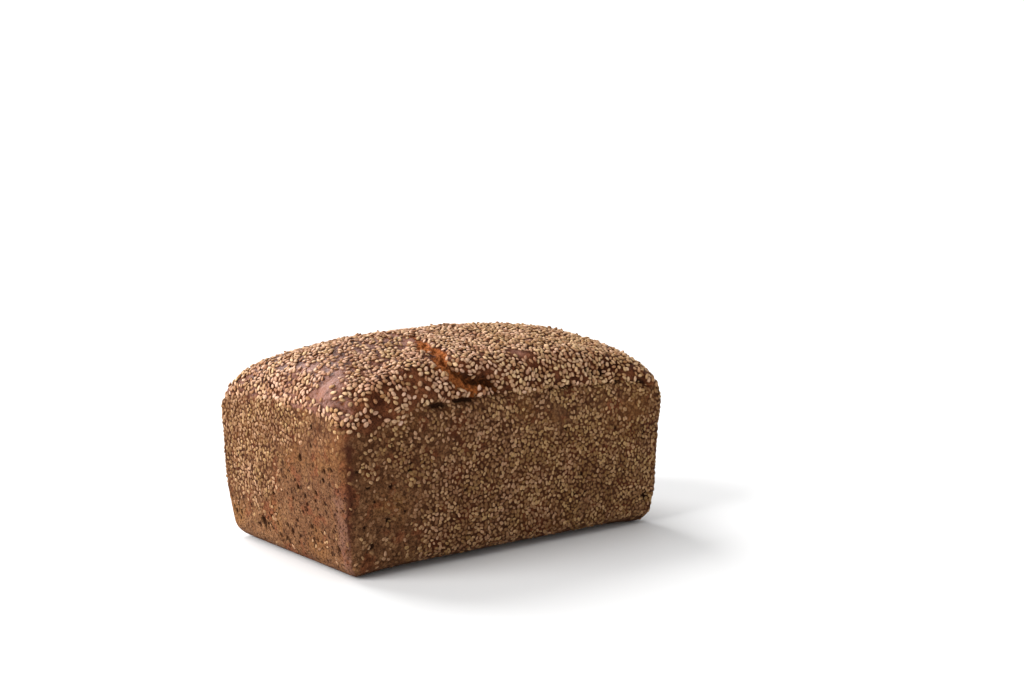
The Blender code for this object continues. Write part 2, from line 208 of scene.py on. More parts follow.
class CrustRelief(PropertyGroup):
    """The lumps, tears and pores of the crust."""

    cells_along: number("Cells along", "Cells of the crust along the loaf", 168)
    cells_across: number("Cells across", "Cells of the crust across the loaf", 108)
    cells_up: number("Cells up", "Cells of the crust from base to rim", 70)
    lump_height: length("Lump height", "Height of the low lumps", 0.0009)
    lump_length: length("Lump length", "Length of the low lumps", 0.034)
    crease_sink: length("Crease depth", "Depth of the crease at the rim", 0.0014)
    crease_reach: length("Crease reach", "Half width of the crease at the rim", 0.0014)
    grain_height: length("Grain height", "Height of the fine grain of the crust", 0.0002)
    wrinkle_height: length("Wrinkle height", "Height of the wrinkles of the top and its shoulder", 0.0009)
    crumb_height: length("Crumb height", "Roughness of the torn crumb", 0.0009)
    lip_lean: length("Lip lean", "How far the flap's lip leans over the crack", 0.0016)


class SesameSizes(PropertyGroup):
    """The seeds, which are strewn over the dough and line the tin."""

    seed_length: length("Seed length", "Length of a sesame seed", 0.0030)
    seed_width: length("Seed width", "Width of a sesame seed", 0.0020)
    seed_thickness: length("Seed thickness", "Thickness of a sesame seed", 0.00105)
    pressed_length: length("Pressed length", "Length of a seed pressed by the tin", 0.0027)
    pressed_width: length("Pressed width", "Width of a seed pressed by the tin", 0.0017)
    pressed_thickness: length("Pressed thickness", "Thickness of a seed pressed by the tin", 0.00085)
    spread: share("Spread", "How much the seeds differ in size", 0.16)
    top_gap: length("Top gap", "Least gap between the halves of two seeds of the top", 0.00140)
    wall_gap: length("Wall gap", "Least gap between the halves of two seeds of the walls", 0.00124)
    tries: number("Tries", "Places tried while the seeds are strewn", 260000)
    draw: number("Draw", "Number that fixes the random draw", 7)


class LoafColours(PropertyGroup):
    """The colours of the baked crust, the crumb and the seeds."""

    wall_dark: colour("Wall dark", "Darker brown of the walls", (0.118, 0.051, 0.022))
    wall_light: colour("Wall light", "Lighter brown of the walls", (0.214, 0.108, 0.051))
    wall_ochre: colour("Wall ochre", "Golden patches of the walls", (0.228, 0.107, 0.038))
    wall_rust: colour("Wall rust", "Redder patches of the walls", (0.200, 0.062, 0.026))
    top_dark: colour("Top dark", "Darker red brown of the top", (0.058, 0.016, 0.006))
    top_light: colour("Top light", "Lighter red brown of the top", (0.205, 0.072, 0.030))
    # Painted sheen: mauve grey that stands for the glossy crust catching the light on the bare spots and by
    # the end's near edge.
    painted_sheen: colour("Ashen", "Mauve grey of the bare spots", (0.285, 0.146, 0.115))
    # Painted highlight: orange brown high on the end where the near upright edge catches the light.
    edge_highlight: colour("Ochre", "Orange brown along the upright edge", (0.300, 0.120, 0.045))
    # Painted shade: dark red brown on the shaded side of the near upright edge, on the end beside it, low on
    # the near half of the ends, and a painted contact shadow round the foot.
    painted_shade: colour("Burnt", "Dark red brown along the upright edge", (0.050, 0.014, 0.007))
    crumb_dark: colour("Crumb dark", "Darker orange brown of the torn crumb", (0.192, 0.056, 0.015))
    crumb_light: colour("Crumb light", "Lighter orange brown of the torn crumb", (0.305, 0.096, 0.026))
    # Painted shade in the pores, the pits, the rim hollows and the crevice under the flap.
    hollow_shade: colour("Hollow", "Brown of the pores, pits and crevices", (0.018, 0.006, 0.003))
    seed_pale: colour("Seed pale", "Palest toasted seeds", (0.63, 0.45, 0.305))
    seed_toasted: colour("Seed toasted", "Darkest toasted seeds", (0.255, 0.120, 0.055))
    pressed_pale: colour("Pressed pale", "Paler seeds pressed by the tin", (0.43, 0.260, 0.134))
    pressed_brown: colour("Pressed brown", "Browner seeds pressed by the tin", (0.120, 0.054, 0.021))
    seed_rim: colour("Seed rim", "Pale rim of a pressed seed", (0.42, 0.275, 0.155))


class Studio(PropertyGroup):
    """The floor, the light and the camera."""

    floor: colour("Floor", "Colour of the floor", (0.73, 0.73, 0.73))
    sky: strength("Sky", "Strength of the white surroundings", 0.51)
    horizon: strength("Horizon", "Strength of the surroundings near the floor", 1.25)
    key: strength("Key", "Strength of the light from the left", 4.5)
    key_bearing: angle("Key bearing", "Bearing of the light from the left, from +X", 171)
    key_rise: angle("Key rise", "Height of the light from the left over the floor", 26)
    key_softness: angle("Key softness", "Width of the light from the left", 44)
    back: strength("Back light", "Strength of the light from behind", 3.8)
    back_bearing: angle("Back bearing", "Bearing of the light from behind, from +X", 94)
    back_rise: angle("Back rise", "Height of the light from behind over the floor", 37)
    back_softness: angle("Back softness", "Width of the light from behind", 44)
    bearing: angle("Camera bearing", "Turn of the camera from the near long side", -38.471)
    rise: angle("Camera rise", "How far the camera looks down", 6.476)
    distance: length("Camera distance", "From the middle of the loaf to the camera", 0.7409)
    aim_height: length("Aim height", "Height of the point that the camera was aimed from", 0.045)
    aside: length("Aside", "How far the camera stands right of the loaf", 0.03411)
    above: length("Above", "How far the camera's line passes over the loaf", 0.05348)
    lens: FloatProperty(name="Lens", description="Focal length in millimetres", default=50.0)


# --- sums on arrays ----------------------------------------------

def mix(low, high, share_of_high):
    return low + (high - low) * share_of_high


def smooth(low, high, value):
    """0 below low, 1 above high, and a smooth step between them."""
    part = np.clip((value - low) / (high - low), 0.0, 1.0)
    return part * part * (3.0 - 2.0 * part)


def size_at(pairs, run):
    """The size that (run, size) pairs give at a run."""
    runs, sizes = zip(*pairs)
    return np.interp(run, runs, sizes)


def ragged(points, feature, shift=0.0):
    """Smooth noise from -1 to 1 at each point, with features of a given length."""
    offset = Vector((shift, shift, shift))
    return np.array([noise.noise(Vector(point) / feature + offset) for point in points])


def vertex_array(mesh, name="co"):
    values = np.empty(len(mesh.vertices) * 3)
    mesh.vertices.foreach_get(name, values)
    return values.reshape(-1, 3)


def set_places(mesh, places):
    mesh.vertices.foreach_set("co", places.ravel())
    mesh.update()


def set_attribute(mesh, name, values):
    attribute = mesh.attributes.new(name, "FLOAT", "POINT")
    attribute.data.foreach_set("value", np.asarray(values, np.float32))


def get_attribute(mesh, name):
    values = np.empty(len(mesh.vertices), np.float32)
    mesh.attributes[name].data.foreach_get("value", values)
    return values


# --- the form of the loaf ----------------------------------------

def plan_point(side_u, side_v, long, wide, radius):
    """A point on a rounded rectangle, from its direction on a square of side 2."""
    box_x = side_u * long / 2
    box_y = side_v * wide / 2
    core_x = np.clip(box_x, radius - long / 2, long / 2 - radius)
    core_y = np.clip(box_y, radius - wide / 2, wide / 2 - radius)
    run = np.maximum(np.hypot(box_x - core_x, box_y - core_y), TINY)
    return core_x + radius * (box_x - core_x) / run, core_y + radius * (box_y - core_y) / run


def rim_height(shape, x, y):
    """The rim's height, lowest at the corners and arched between them."""
    along = np.clip(np.abs(x) / (shape.rim_length / 2), 0, 1)
    across = np.clip(np.abs(y) / (shape.rim_width / 2), 0, 1)
    side = shape.side_arch * (1 - along ** SIDE_ARCH_POWER) * across ** RIM_BLEND_POWER
    end = shape.end_arch * (1 - across ** END_ARCH_POWER) * along ** RIM_BLEND_POWER
    return shape.rim_height + side + end


def wall_point(shape, side_u, side_v, rise):
    """A point of the walls, for a rise of 0 at the base and 1 at the rim."""
    rim_x, rim_y = plan_point(side_u, side_v, shape.rim_length, shape.rim_width, shape.edge_radius)
    rim_z = rim_height(shape, rim_x, rim_y)
    turn = np.clip(rise / FOOT_SHARE, 0, 1) * math.pi / 2
    above = np.clip((rise - FOOT_SHARE) / (1 - FOOT_SHARE), 0, 1)
    z = shape.foot_radius * (1 - np.cos(turn)) + (rim_z - shape.foot_radius) * above
    tuck = shape.foot_radius * (1 - np.sin(turn))
    level = z / rim_z
    grow = 2 * (shape.wall_swell * 4 * level * (1 - level) - tuck)
    long = mix(shape.base_length, shape.rim_length, level) + grow
    wide = mix(shape.base_width, shape.rim_width, level) + grow
    radius = np.maximum(shape.edge_radius - tuck / 2, shape.smallest_edge_radius)
    x, y = plan_point(side_u, side_v, long, wide, radius)
    arch = 1 - np.abs(side_u) ** FOOT_ARCH_POWER
    arch = shape.foot_arch * arch * smooth(FOOT_ARCH_START, 1.0, np.abs(side_v))
    return x, y, z + arch * (1 - level) ** FOOT_ARCH_FADE


def top_point(shape, u, v):
    """A point of the dome, for u and v from -1 to 1."""
    reach = np.maximum(np.abs(u), np.abs(v))
    side_u = u / np.maximum(reach, TINY)
    side_v = v / np.maximum(reach, TINY)
    spread = 1 - (1 - reach) ** TOP_SPREAD
    rim_x, rim_y = plan_point(side_u, side_v, shape.rim_length, shape.rim_width, shape.edge_radius)
    along = np.abs(side_u * spread)
    across = np.abs(side_v * spread)
    middle = shape.rim_height + (shape.side_arch + shape.end_arch) / 2
    rim = mix(middle, rim_height(shape, rim_x, rim_y), spread ** 2)
    shoulder = (1 - along ** SHOULDER_POWERS[0]) * (1 - across ** SHOULDER_POWERS[1])
    crown = (1 - along ** CROWN_POWERS[0]) * (1 - across ** CROWN_POWERS[1])
    z = rim + shape.shoulder_height * shoulder + shape.crown_height * crown
    return rim_x * spread, rim_y * spread, z


def sunk(shape, form, top):
    """How far the crust sank at both ends of the dome, and in the near right upright edge."""
    x, y, z = form.T
    slump = shape.slump * smooth(-0.03, -0.06, x) * smooth(0.0, 0.03, y) * top
    sag = shape.right_sag * smooth(0.045, 0.09, x) * smooth(0.09, -0.045, y) * smooth(0.076, 0.09, z)
    dent = smooth(0.075, 0.092, x) * smooth(-0.040, -0.056, y)
    dent = dent * smooth(0.018, 0.032, z) * smooth(0.064, 0.050, z)
    return slump + sag + shape.edge_dent * dent


# --- the crack ---------------------------------------------------

def on_flap(x, flank):
    """True on the right of the crack, where the crust lifted as a flap."""
    corners = FLAP_EDGE + FLAP_FAR_CORNERS
    inside = np.zeros(x.shape, bool)
    for (x0, f0), (x1, f1) in zip(corners, corners[1:] + corners[:1]):
        if f0 != f1:
            between = (f0 > flank) != (f1 > flank)
            inside ^= between & (x < x0 + (x1 - x0) * (flank - f0) / (f1 - f0))
    return inside


def flap_offset(x, flank):
    """The distance from the flap's edge, positive on the flap, and the run along that edge."""
    nearest = np.full(x.shape, np.inf)
    run_there = np.zeros(x.shape)
    run = 0.0
    for (x0, f0), (x1, f1) in zip(FLAP_EDGE, FLAP_EDGE[1:]):
        piece = math.hypot(x1 - x0, f1 - f0)
        part = np.clip(((x - x0) * (x1 - x0) + (flank - f0) * (f1 - f0)) / piece ** 2, 0, 1)
        gap = np.hypot(x - mix(x0, x1, part), flank - mix(f0, f1, part))
        closer = gap < nearest
        nearest = np.where(closer, gap, nearest)
        run_there = np.where(closer, run + part * piece, run_there)
        run += piece
    return np.where(on_flap(x, flank), nearest, -nearest), run_there


# --- the crust ---------------------------------------------------

def cube_cells(relief):
    """A cube of side 2 whose sides are cut into the crust's cells."""
    mesh = bmesh.new()
    bmesh.ops.create_cube(mesh, size=2.0)
    for axis, cells in enumerate((relief.cells_along, relief.cells_across, relief.cells_up)):
        edges = [
            edge for edge in mesh.edges
            if abs(edge.verts[0].co[axis] - edge.verts[1].co[axis]) > 1.0
        ]
        bmesh.ops.subdivide_edges(mesh, edges=edges, cuts=cells - 1, use_grid_fill=True)
    return mesh


def cut_finer(mesh, shape):
    """Cuts the cells once more along the crack, and along the rim."""
    mesh.normal_update()
    mesh.edges.index_update()
    faces = list(mesh.faces)
    middles = np.array([face.calc_center_median()[:] for face in faces])
    u, v, w = middles.T
    top = w > 1 - 1e-6
    x = top_point(shape, u, v)[0]
    offset, run = flap_offset(x, (1 + v) * shape.flank_length)
    crack = top & (offset < 0.005) & (offset > -size_at(CRACK_WIDTH, run) - 0.004)
    shoulder = top & (np.maximum(np.abs(u), np.abs(v)) > 0.93)
    edges = {edge for face, fine in zip(faces, crack | shoulder) if fine for edge in face.edges}
    ordered_edges = sorted(edges, key=lambda edge: edge.index)
    bmesh.ops.subdivide_edges(mesh, edges=ordered_edges, cuts=1, use_grid_fill=True)


def spots(along, up, places):
    """How far each point is inside any of the round spots, from 0 to 1."""
    inside = np.zeros(along.shape)
    for spot_along, spot_up, reach in places:
        inside = np.maximum(inside, np.exp(-((along - spot_along) ** 2 + (up - spot_up) ** 2) / reach ** 2))
    return inside


def pits(along, up, places):
    """The depth of the pits at each point, and how much painted shade they get."""
    depth = np.zeros(along.shape)
    dark = np.zeros(along.shape)
    for pit_along, pit_up, radius, deep in places:
        far = np.hypot(along - pit_along, up - pit_up) / radius
        depth = np.maximum(depth, deep * np.exp(-far ** 4))
        dark = np.maximum(dark, np.exp(-(far / 1.15) ** 4))
    return depth, dark


def strewn_pits(seed, count, along, up):
    """Small pits at random places within a stretch of a wall."""
    draw = np.random.default_rng(seed)
    return [
        (draw.uniform(*along), draw.uniform(*up), draw.uniform(0.0006, 0.0011), draw.uniform(0.0006, 0.0013))
        for _ in range(count)
    ]


def hollows(x, flank):
    """The depth of the hollows at the near rim, and how much painted shade they get."""
    depth = np.zeros(x.shape)
    dark = np.zeros(x.shape)
    wavy = flank + 0.0013 * ragged(np.stack([x, 0 * x, 0 * x], axis=1), 0.005, 42.0)
    for hollow_x, hollow_flank, wide, high, deep in HOLLOWS:
        far = ((x - hollow_x) / wide) ** 4 + ((wavy - hollow_flank) / high) ** 2
        depth = np.maximum(depth, deep * np.exp(-far))
        dark = np.maximum(dark, np.exp(-far * 1.2))
    broken = smooth(0.15, 0.5, ragged(np.stack([x, flank * 0.6, 0 * x], axis=1), 0.0065, 41.0))
    line = np.exp(-((flank - 0.0004) / 0.0016) ** 2) * smooth(-0.015, 0.02, x) * broken
    return np.maximum(depth, 0.002 * line), np.maximum(dark, 0.8 * line)


def lean_lip(shape, relief, places, flank, near, offset, run):
    """Leans the flap's lip out over the crack, along the crust."""
    step = 0.0004
    slope_x = (flap_offset(places[:, 0] + step, flank)[0] - offset) / step
    slope_f = (flap_offset(places[:, 0], flank + step)[0] - offset) / step
    steep = np.clip(-places[:, 1] / (shape.rim_width / 2), 0, 1) ** 6
    lip = near * np.exp(-np.maximum(offset, 0) / 0.003) * smooth(-0.0008, 0.0012, offset)
    lean = relief.lip_lean * lip * size_at(FLAP_LIFT, run) / 0.0026
    slope = np.maximum(np.hypot(slope_x, slope_f), TINY)
    places[:, 0] -= lean * slope_x / slope
    places[:, 1] -= lean * slope_f / slope * (1 - steep)
    places[:, 2] -= lean * slope_f / slope * steep


def past_crack(form, offset):
    """How far each point lies past the flap's edge, and how soft that border is.

    Behind the ridge, where nothing tore, the border between the two looks of the top wanders and is soft.
    """
    behind = smooth(-0.004, 0.010, form[:, 1])
    beyond = form[:, 0] + 0.034 + 0.016 * ragged(form, 0.011, 3.0)
    return mix(offset, beyond, behind), 0.0001 + 0.014 * behind


def seed_share(cube, form, offset, torn, near_flank):
    """How full of seeds the crust is at each vertex, from 0 to 1."""
    u, v, w = cube.T
    x, y, z = form.T
    clumps = ragged(form, 0.009, 3.0)
    patches = ragged(form, 0.02, 7.0)
    top = w > 1 - 1e-6
    past, soft = past_crack(form, offset)
    bare = np.maximum(spots(x, y, TOP_BARE_SPOTS), 0.7 * spots(x, near_flank, FLANK_BARE_SPOTS))
    left = 0.78 + 0.60 * clumps + 0.15 * patches - 0.95 * bare
    left -= 0.15 * smooth(0.013, 0.005, near_flank) * smooth(-0.060, -0.070, x)
    left += 0.5 * smooth(0.020, 0.010, near_flank) * smooth(-0.050, -0.044, x)
    right = 0.94 + 0.30 * clumps + 0.15 * patches - 0.85 * bare
    on_top = mix(left, right, smooth(-soft, soft, past)) * (1 - torn)

    side = mix(0.80, 1.0, smooth(0.062, 0.048, z)) + 0.2 * patches
    sparse = smooth(-0.050, -0.064, np.where(y < 0, x, -x))
    fuller_share = smooth(0.036, 0.050, z) * mix(1, 0.4, smooth(0.062, 0.070, z))
    side = mix(side, mix(0.30, 0.70, fuller_share) + 0.25 * clumps, sparse)
    side -= 0.7 * spots(x, z, SIDE_BARE_SPOTS) * (y < 0)
    side *= mix(0.25, 1.0, smooth(-0.0925, -0.086, np.where(y < 0, x, -x)))

    bound = mix(0.007, -0.020, smooth(0.043, 0.068, z))
    inward_place = np.where(u < 0, y, -y) + 0.012 * clumps
    full = smooth(bound - 0.016, bound + 0.012, inward_place) * smooth(0.012, 0.036, z)
    end = mix(0.05 + 0.25 * smooth(0.060, 0.068, z) + 0.12 * clumps, 0.95 + 0.15 * patches, full)
    cover = np.where(top, on_top, np.where(np.abs(u) > 1 - 1e-6, end, side))
    cover = cover * smooth(0.0015, 0.006, z)
    return np.clip(cover, 0, 1) * (w > -1 + 1e-6)


def shape_crust(mesh, cube, shape, relief):
    """Moves the cube's vertices to the form of the loaf, adds its relief, and notes what each vertex is."""
    u, v, rise = cube[:, 0], cube[:, 1], (cube[:, 2] + 1) / 2
    top = rise > 1 - 1e-6
    form = np.where(top, top_point(shape, u, v), wall_point(shape, u, v, rise)).T
    base = rise < 1e-6
    near = top | ((v < -1 + 1e-6) & ~base)
    flank = np.where(top, (1 + v) * shape.flank_length, (rise - 1) * shape.rim_height)
    inward_share = 1 - np.maximum(np.abs(u), np.abs(v))
    to_rim = np.where(top, inward_share * shape.flank_length, (rise - 1) * shape.rim_height)
    set_places(mesh, form)
    normal = vertex_array(mesh, "normal")

    offset, run = flap_offset(form[:, 0], flank)
    fray = 0.0022 * ragged(form, 0.006, 21.0) + 0.0012 * ragged(form, 0.0022, 22.0)
    width = size_at(CRACK_WIDTH, run)
    width = width + 1.7 * fray * np.clip(width / 0.006, 0, 1)
    offset = offset + 0.4 * fray * near
    torn = smooth(0, 0.0014, -offset) * smooth(0, 0.0016, offset + width) * near
    reach = size_at(CREVICE_REACH, run)
    crevice = np.exp(-((offset + reach / 2) / reach) ** 2) * near
    lift = size_at(FLAP_LIFT, run) * np.exp(-np.maximum(offset, 0) / 0.011) * smooth(-0.0022, 0.0022, offset)
    crack = (lift - size_at(CRACK_SINK, run) * torn - size_at(CREVICE_SINK, run) * crevice) * near
    crease = relief.crease_sink * np.exp(-(to_rim / relief.crease_reach) ** 2) * (0.6 + ragged(form, 0.016))
    above_foot = np.clip(form[:, 2] / 0.012, 0, 1)
    lumps = relief.lump_height * ragged(form, relief.lump_length) * above_foot
    shoulder = np.exp(-np.maximum(to_rim, 0) / 0.012) * top
    wrinkles = 0.7 * ragged(form, 0.0075, 31.0) + 0.5 * ragged(form, 0.0034, 32.0)
    wrinkles = wrinkles + 0.25 * ragged(form, 0.0017, 33.0)
    corner = 1.2 * np.exp(-((form[:, 0] + 0.092) ** 2 + (form[:, 1] + 0.054) ** 2) / 0.012 ** 2) * top
    wrinkles += corner * ragged(form, 0.0030, 34.0)
    lumps += relief.wrinkle_height * (0.65 + shoulder) * wrinkles * np.where(top, 1.0, 0.35) * above_foot
    hollow_depth, hollow_dark = hollows(form[:, 0], flank)
    hollow_depth = hollow_depth * near
    hollow_dark = hollow_dark * near
    places = form + normal * (lumps + crack - crease - hollow_depth - sunk(shape, form, top))[:, None]
    lean_lip(shape, relief, places, flank, near, offset, run)
    set_places(mesh, places)
    normal = vertex_array(mesh, "normal")

    side = (np.abs(v) > 1 - 1e-6) & ~top & ~base
    end = (np.abs(u) > 1 - 1e-6) & ~top & ~base
    pit_depth = np.zeros(len(form))
    pit_dark = np.zeros(len(form))
    for wall, along, places_there in (
        (side & (v < 0), form[:, 0], SIDE_PITS + strewn_pits(1, 34, (-0.09, 0.09), (0.008, 0.062))),
        (side & (v > 0), form[:, 0], strewn_pits(2, 26, (-0.09, 0.09), (0.006, 0.06))),
        (end & (u < 0), form[:, 1], END_PITS + strewn_pits(3, 42, (-0.054, 0.02), (0.006, 0.044))
            + strewn_pits(4, 10, (-0.02, 0.054), (0.006, 0.022))),
        (end & (u > 0), form[:, 1], strewn_pits(5, 34, (-0.054, 0.054), (0.006, 0.05))),
    ):
        depth, dark = pits(along, form[:, 2], places_there)
        pit_depth += depth * wall
        pit_dark += dark * wall
    open_crumb = smooth(0.12, 0.4, ragged(form, 0.0034, 5.0))
    crumb_form = ragged(form, 0.0024, 1.0) + 0.6 * ragged(form, 0.0012, 2.0) - 1.2 * open_crumb
    crumb = torn * relief.crumb_height * crumb_form
    grain = relief.grain_height * ragged(form, 0.0028, 4.0) * above_foot
    set_places(mesh, places + normal * (crumb + grain - pit_depth)[:, None])

    below = np.clip(base * 1.0, 0, 1)
    # How much painted shadow falls in the crevice under the flap's lip, and in the hollows at the rim.
    deep = np.clip(size_at(CREVICE_SINK, run) / 0.0038, 0, 1) * crevice * smooth(0.0030, 0.0004, offset)
    deep = np.maximum(deep, hollow_dark)
    strewn_edge = 0.15 * smooth(0.0035, 0.0, offset + width)
    cover = seed_share(cube, form, offset, smooth(0.05, 0.4, torn) * (1 - strewn_edge), flank)
    x, y, z = form.T
    cover *= 1 - 0.65 * smooth(0.25, 0.6, deep) * smooth(0.0010, -0.0006, offset)
    cover *= 1 - 0.9 * smooth(0.2, 0.5, hollow_dark) * (x < 0)
    at_edge = end & (u < 0)
    ragged_edge = 0.002 * ragged(form, 0.004, 61.0)
    # Painted shade: a dark band on the near side just past the near upright edge, a band on the end beside
    # that edge, darker low on the near half of both ends, and a painted contact shadow round the foot.
    painted_shade = np.exp(-((x + 0.0960 + 0.5 * ragged_edge) / 0.0019) ** 2)
    painted_shade = painted_shade * (side & (v < 0)) * smooth(0.070, 0.062, z)
    painted_shade = np.maximum(painted_shade, 0.45 * smooth(-0.040, -0.055, y + ragged_edge) * at_edge)
    painted_shade = np.maximum(painted_shade, 0.32 * smooth(0.066, 0.056, z) * smooth(0.010, -0.020, y) * end)
    painted_shade = np.maximum(painted_shade, 0.7 * smooth(0.0045, 0.001, z) * ~base)
    # Painted sheen: mauve grey by the end's near edge, on the bare spots of the top, and on the thin-seeded
    # top left of the crack.
    painted_sheen = smooth(-0.047, -0.053, y + 2 * ragged_edge) * at_edge * smooth(0.046, 0.036, z)
    sheen_reach = np.maximum(smooth(-0.053, -0.045, y), smooth(-0.086, -0.091, x))
    painted_sheen = np.maximum(0.45 * painted_sheen, spots(x, y, TOP_BARE_SPOTS) * sheen_reach * top)
    thin = smooth(0.95, 0.45, cover) * (1 - torn)
    past, soft = past_crack(form, offset)
    thinned_share = 0.75 * smooth(-0.052, -0.042, y) * smooth(0.001, -0.004 - soft, past) * top * thin
    painted_sheen = np.maximum(painted_sheen, thinned_share)
    # Painted highlight: orange brown high on the end by the near upright edge, where that edge catches the
    # light.
    edge_highlight = smooth(-0.048, -0.053, y + 2 * ragged_edge) * at_edge * smooth(0.052, 0.058, z)
    facing = np.where(u < 0, form[:, 1], -form[:, 1])
    porous = np.where(end, smooth(0.016, 0.0, facing + 0.3 * (z - 0.03)) * smooth(0.066, 0.045, z), 0.2)
    porous = np.where(end, np.maximum(porous, smooth(0.034, 0.022, z)), porous)
    porous = np.where(side & (np.abs(form[:, 0]) > 0.057), 0.6 * smooth(0.055, 0.04, z), porous)
    spill = 0.006 * smooth(-0.056, -0.068, x) * (v < 0) * ~end
    set_attribute(mesh, "dome", smooth(-0.0012, 0.0032, to_rim + spill + 0.0022 * ragged(form, 0.006, 51.0)))
    set_attribute(mesh, "torn", torn)
    # Painted shade: deep and pit say how dark the crevice, the pits and the rim hollows are painted.
    set_attribute(mesh, "deep", deep)
    set_attribute(mesh, "pit", np.maximum(pit_dark, 0.8 * hollow_dark))
    set_attribute(mesh, "porous", np.clip(np.where(top, 0.0, porous) + below, 0, 1))
    set_attribute(mesh, "seeded", cover)
    set_attribute(mesh, "painted_shade", painted_shade)
    set_attribute(mesh, "painted_sheen", painted_sheen)
    set_attribute(mesh, "edge_highlight", edge_highlight)
    left = top & (offset < 0)
    set_attribute(mesh, "shine", np.where(left, 0.5 + 0.5 * ragged(form, 0.012, 11.0), 0.1))


def finish_piece(piece, material):
    """Hands a piece to the loaf's body: it moves with that body and stands for the plain loaf."""
    piece.data.materials.clear()
    piece.data.materials.append(material)
    piece.data.polygons.foreach_set("use_smooth", [True] * len(piece.data.polygons))
    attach(piece, BODY)
    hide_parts(LOAF_NODE)


def new_piece(name, mesh):
    piece = bpy.data.objects.new(name, mesh)
    bpy.context.scene.collection.objects.link(piece)
    return piece


# --- the seeds ---------------------------------------------------

def seed_piece(long, wide, thick, point, rings):
    """One sesame seed of its true size: a flat drop, pointed at one end."""
    mesh = bmesh.new()
    bmesh.ops.create_uvsphere(mesh, u_segments=SEED_SIDES, v_segments=rings + 1, radius=0.5)
    bmesh.ops.rotate(mesh, verts=mesh.verts, matrix=Matrix.Rotation(math.pi / 2, 3, "Y"))
    for vert in mesh.verts:
        taper = 1.0 - point * vert.co.x
        vert.co.y *= taper
        vert.co.z *= 1.0 - SEED_THINNING * vert.co.x
    bmesh.ops.scale(mesh, verts=mesh.verts, vec=(long, wide, thick))
    data = bpy.data.meshes.new("sesame_seed")
    mesh.to_mesh(data)
    mesh.free()
    places = vertex_array(data)
    out = np.hypot(places[:, 0] / long, places[:, 1] / wide) * 2
    set_attribute(data, "edge", np.clip(out, 0, 1))
    data.polygons.foreach_set("use_smooth", [True] * len(data.polygons))
    return new_piece("sesame_seed", data)


class SeedPacking:
    """Seeds laid so far, each kept as two discs, so that a new one may be tested against them."""

    def __init__(self, gap):
        self.gap = gap
        self.cells = {}

    def cell(self, point):
        return tuple(int(math.floor(part / self.gap)) for part in point)

    def is_free(self, point):
        i, j, k = self.cell(point)
        x, y, z = point
        limit = self.gap * self.gap
        cells = self.cells
        for a in (i - 1, i, i + 1):
            for b in (j - 1, j, j + 1):
                for c in (k - 1, k, k + 1):
                    for ox, oy, oz in cells.get((a, b, c), ()):
                        if (x - ox) ** 2 + (y - oy) ** 2 + (z - oz) ** 2 < limit:
                            return False
        return True

    def add(self, point):
        self.cells.setdefault(self.cell(point), []).append(tuple(point))


def candidates(crust, sizes, draw):
    """Random places on the crust, evenly spread, with their normals, cover and dome share."""
    data = crust.data
    data.calc_loop_triangles()
    corners = np.empty(len(data.loop_triangles) * 3, np.int32)
    data.loop_triangles.foreach_get("vertices", corners)
    corners = corners.reshape(-1, 3)
    places = vertex_array(data)
    normals = vertex_array(data, "normal")
    cover = get_attribute(data, "seeded")
    dome = get_attribute(data, "dome")
    a, b, c = (places[corners[:, i]] for i in range(3))
    areas = np.linalg.norm(np.cross(b - a, c - a), axis=1) * (cover[corners].max(axis=1) > TRIED_COVER)
    chosen = draw.choice(len(corners), sizes.tries, p=areas / areas.sum())
    along = np.sqrt(draw.random(sizes.tries))[:, None]
    across = draw.random(sizes.tries)[:, None]
    weights = np.hstack([1 - along, along * (1 - across), along * across])
    at = corners[chosen]

    def blend(values):
        return np.einsum("ij,ij...->i...", weights, values[at])

    return blend(places), blend(normals), blend(cover), blend(dome)


def lay_seeds(crust, sizes):
    """The seeds' places, normals, headings, dome shares and the cover of the crust under them."""
    draw = np.random.default_rng(sizes.draw)
    places, normals, cover, dome = candidates(crust, sizes, draw)
    normals /= np.linalg.norm(normals, axis=1)[:, None]
    upright = np.where(np.abs(normals[:, 2:3]) > 0.9, [[1.0, 0.0, 0.0]], [[0.0, 0.0, 1.0]])
    first = np.cross(upright, normals)
    first /= np.linalg.norm(first, axis=1)[:, None]
    second = np.cross(normals, first)
    angles = draw.random((len(places), 3)) * math.pi
    reaches = np.where(dome > 0.5, sizes.seed_length * TOP_DISCS, sizes.pressed_length * WALL_DISCS)
    clumping = CLUMPING * ragged(places, *SEED_CLUMPS) * cover * (1 - cover) * 4
    kept = draw.random(len(places)) < np.clip(cover * KEPT_SHARE + clumping, 0, 1)
    packings = (SeedPacking(sizes.wall_gap), SeedPacking(sizes.top_gap))
    laid = []
    for index in range(len(places)):
        if cover[index] < LEAST_COVER:
            continue
        packing = packings[int(dome[index] > 0.5)]
        reach = reaches[index]
        for angle in angles[index]:
            heading = first[index] * math.cos(angle) + second[index] * math.sin(angle)
            head = places[index] + heading * reach
            tail = places[index] - heading * reach
            if packing.is_free(head) and packing.is_free(tail):
                packing.add(head)
                packing.add(tail)
                if kept[index]:
                    laid.append((index, heading))
                break
    chosen = np.array([index for index, _ in laid])
    headings = np.array([heading for _, heading in laid])
    return places[chosen], normals[chosen], headings, dome[chosen], cover[chosen]


